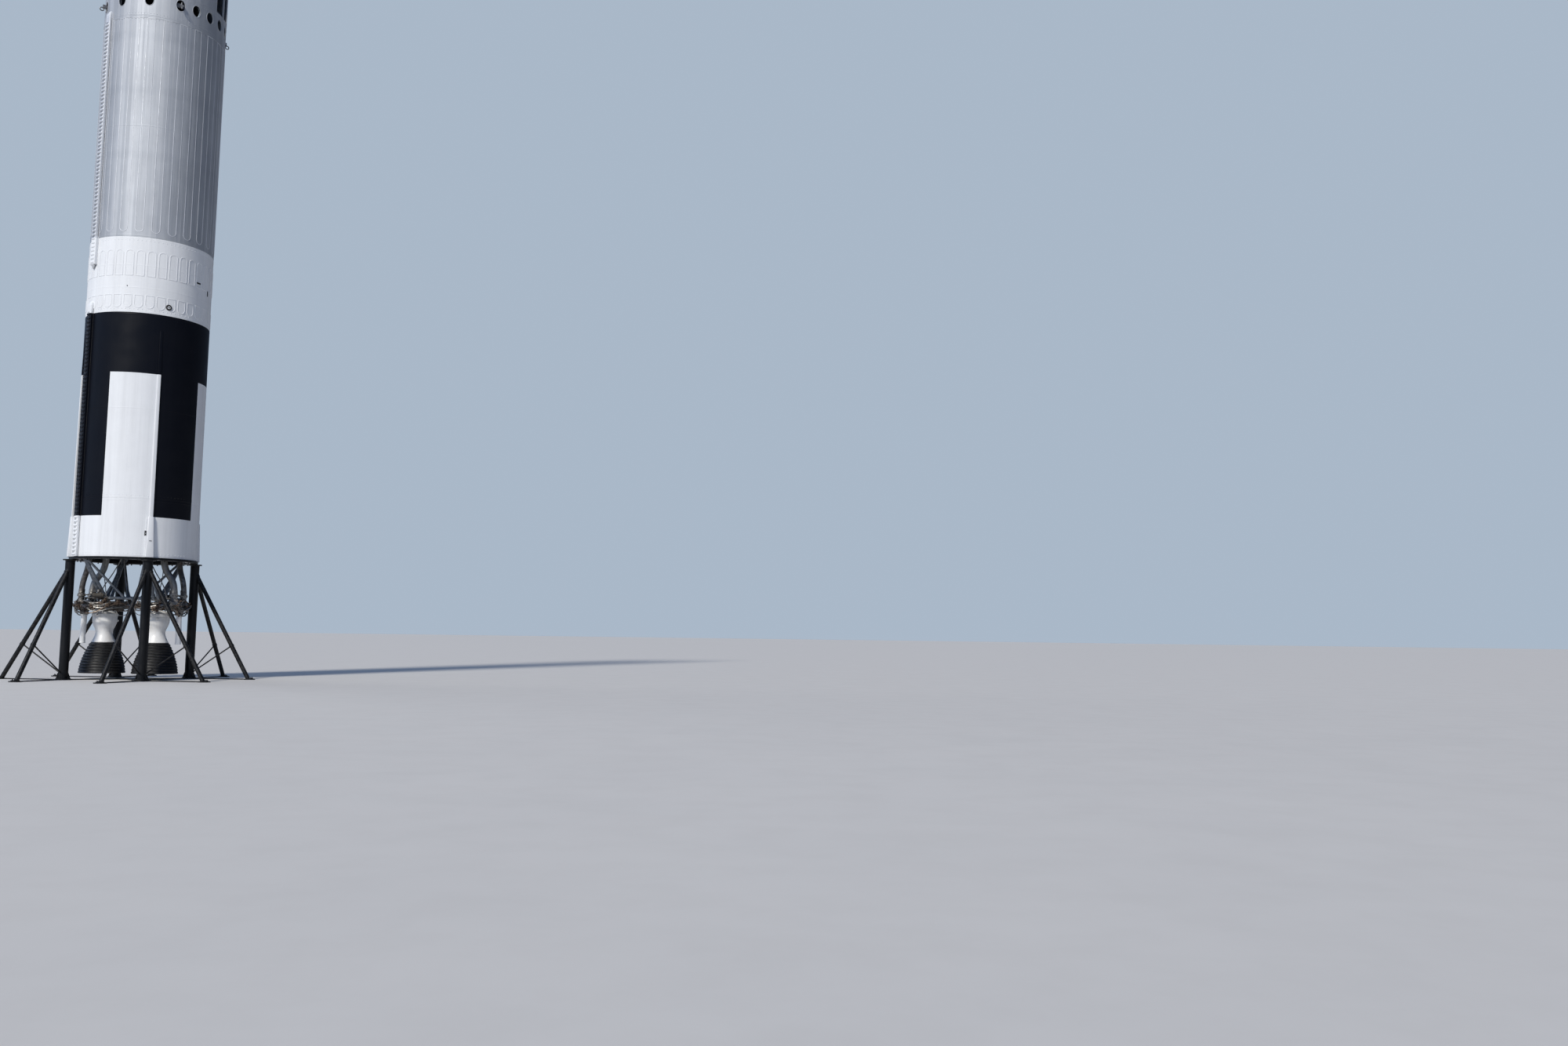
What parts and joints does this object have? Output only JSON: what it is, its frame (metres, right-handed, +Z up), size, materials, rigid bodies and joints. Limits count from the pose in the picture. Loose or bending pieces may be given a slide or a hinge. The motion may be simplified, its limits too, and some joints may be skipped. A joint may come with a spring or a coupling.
{
  "type": "two-stage liquid-fuel space rocket with crew spacecraft on a display stand",
  "caption": "Upright two-stage rocket with gimballed engines, banded black, white and bare metal skin, open interstage and a small hatched crew cabin, on a black steel stand.",
  "frame": {"origin": "centre of the underside of the stand's base, on the ground, on the rocket's axis", "axes": "+Z up along the rocket's axis; +X out through main engine 1; the hatches face -Y"},
  "size_m": [5.9158, 5.9158, 32.84],
  "materials": {
    "stand_black": "semi-gloss black paint on structural steel",
    "white_paint": "satin white paint over riveted and welded aluminium",
    "black_paint": "semi-gloss black paint, white in the pattern's panels",
    "bare_aluminium": "bare mill-finish aluminium with vertical tonal streaks",
    "engine_metal": "weathered bare metal",
    "bell_black": "matt black over reinforcing bands",
    "cabin_dark": "matt black corrugated shingles",
    "window_glass": "clear glass in a dark frame",
    "seat_cloth": "woven seat covering",
    "panel_grey": "matt grey paint"
  },
  "bodies": {
    "rocket": {"stand_base": "stand_black", "stand_leg_1": "stand_black", "stand_leg_2": "stand_black", "stand_leg_3": "stand_black", "stand_leg_4": "stand_black", "stand_ring": "stand_black", "aft_skirt": "white_paint", "between_tanks_1": "white_paint", "adapter_lower": "white_paint", "adapter_upper": "white_paint", "exhaust_duct_1": "white_paint", "exhaust_duct_2": "white_paint", "longeron_1": "white_paint", "longeron_2": "white_paint", "longeron_3": "white_paint", "longeron_4": "white_paint", "fuel_tank_1": "black_paint", "oxidizer_tank_1": "bare_aluminium", "vent_skirt": "bare_aluminium", "interstage": "bare_aluminium", "fuel_tank_2": "bare_aluminium", "between_tanks_2": "bare_aluminium", "oxidizer_tank_2": "bare_aluminium", "forward_skirt_2": "bare_aluminium", "raceway_lower": "bare_aluminium", "raceway_upper": "bare_aluminium", "raceway_stage_2": "bare_aluminium", "engine_frame": "engine_metal", "turbopump_1": "engine_metal", "turbopump_2": "engine_metal", "oxidizer_line_1": "engine_metal", "oxidizer_line_2": "engine_metal", "fuel_line_1": "engine_metal", "fuel_line_2": "engine_metal", "thrust_frame_2": "engine_metal", "thrust_ring_2": "engine_metal", "cabin": "cabin_dark", "control_section": "cabin_dark", "nose_section": "cabin_dark", "crew_seats": "seat_cloth", "instrument_panel": "panel_grey"},
    "gimbal_1": {"gimbal_block_1": "engine_metal"},
    "chamber_1": {"thrust_chamber_1": "white_paint", "nozzle_bell_1": "bell_black"},
    "gimbal_2": {"gimbal_block_2": "engine_metal"},
    "chamber_2": {"thrust_chamber_2": "white_paint", "nozzle_bell_2": "bell_black"},
    "gimbal_3": {"gimbal_block_3": "engine_metal"},
    "chamber_3": {"thrust_chamber_3": "white_paint", "nozzle_bell_3": "bell_black"},
    "actuator_rod_x_1": {"rod_x_1": "engine_metal"},
    "actuator_rod_y_1": {"rod_y_1": "engine_metal"},
    "actuator_rod_x_2": {"rod_x_2": "engine_metal"},
    "actuator_rod_y_2": {"rod_y_2": "engine_metal"},
    "hatch_r": {"hatch_right": "cabin_dark", "hatch_window_right": "window_glass"},
    "hatch_l": {"hatch_left": "cabin_dark", "hatch_window_left": "window_glass"}
  },
  "joints": [
    {"name": "engine_1_tilt_x", "type": "hinge", "parent": "rocket", "child": "gimbal_1", "pos_m": [0.75, 0, 1.95], "axis": [1, 0, 0], "range_deg": [-4.5, 4.5]},
    {"name": "engine_1_tilt_y", "type": "hinge", "parent": "gimbal_1", "child": "chamber_1", "pos_m": [0.75, 0, 1.95], "axis": [0, 1, 0], "range_deg": [-4.5, 4.5]},
    {"name": "actuator_1_x", "type": "slide", "parent": "rocket", "child": "actuator_rod_x_1", "axis": [0, 0, 1], "range_m": [-0.026, 0.026]},
    {"name": "actuator_1_y", "type": "slide", "parent": "rocket", "child": "actuator_rod_y_1", "axis": [0, 0, 1], "range_m": [-0.026, 0.026]},
    {"name": "engine_2_tilt_x", "type": "hinge", "parent": "rocket", "child": "gimbal_2", "pos_m": [-0.75, 0, 1.95], "axis": [1, 0, 0], "range_deg": [-4.5, 4.5]},
    {"name": "engine_2_tilt_y", "type": "hinge", "parent": "gimbal_2", "child": "chamber_2", "pos_m": [-0.75, 0, 1.95], "axis": [0, 1, 0], "range_deg": [-4.5, 4.5]},
    {"name": "actuator_2_x", "type": "slide", "parent": "rocket", "child": "actuator_rod_x_2", "axis": [0, 0, 1], "range_m": [-0.026, 0.026]},
    {"name": "actuator_2_y", "type": "slide", "parent": "rocket", "child": "actuator_rod_y_2", "axis": [0, 0, 1], "range_m": [-0.026, 0.026]},
    {"name": "engine_3_tilt_x", "type": "hinge", "parent": "rocket", "child": "gimbal_3", "pos_m": [0, 0, 20.8], "axis": [1, 0, 0], "range_deg": [-3, 3]},
    {"name": "engine_3_tilt_y", "type": "hinge", "parent": "gimbal_3", "child": "chamber_3", "pos_m": [0, 0, 20.8], "axis": [0, 1, 0], "range_deg": [-3, 3]},
    {"name": "hatch_right_hinge", "type": "hinge", "parent": "rocket", "child": "hatch_r", "pos_m": [0.71885, -0.74439, 29.92682], "axis": [-0.2369, 0.2453, 0.9401], "range_deg": [0, 90]},
    {"name": "hatch_left_hinge", "type": "hinge", "parent": "rocket", "child": "hatch_l", "pos_m": [-0.71885, -0.74439, 29.92682], "axis": [-0.2369, -0.2453, -0.9401], "range_deg": [0, 90]}
  ],
  "couplings": [
    {"joint": "actuator_1_x", "follows": "engine_1_tilt_x", "m_per_rad": 0.33},
    {"joint": "actuator_1_y", "follows": "engine_1_tilt_y", "m_per_rad": -0.33},
    {"joint": "actuator_2_x", "follows": "engine_2_tilt_x", "m_per_rad": -0.33},
    {"joint": "actuator_2_y", "follows": "engine_2_tilt_y", "m_per_rad": 0.33}
  ]
}
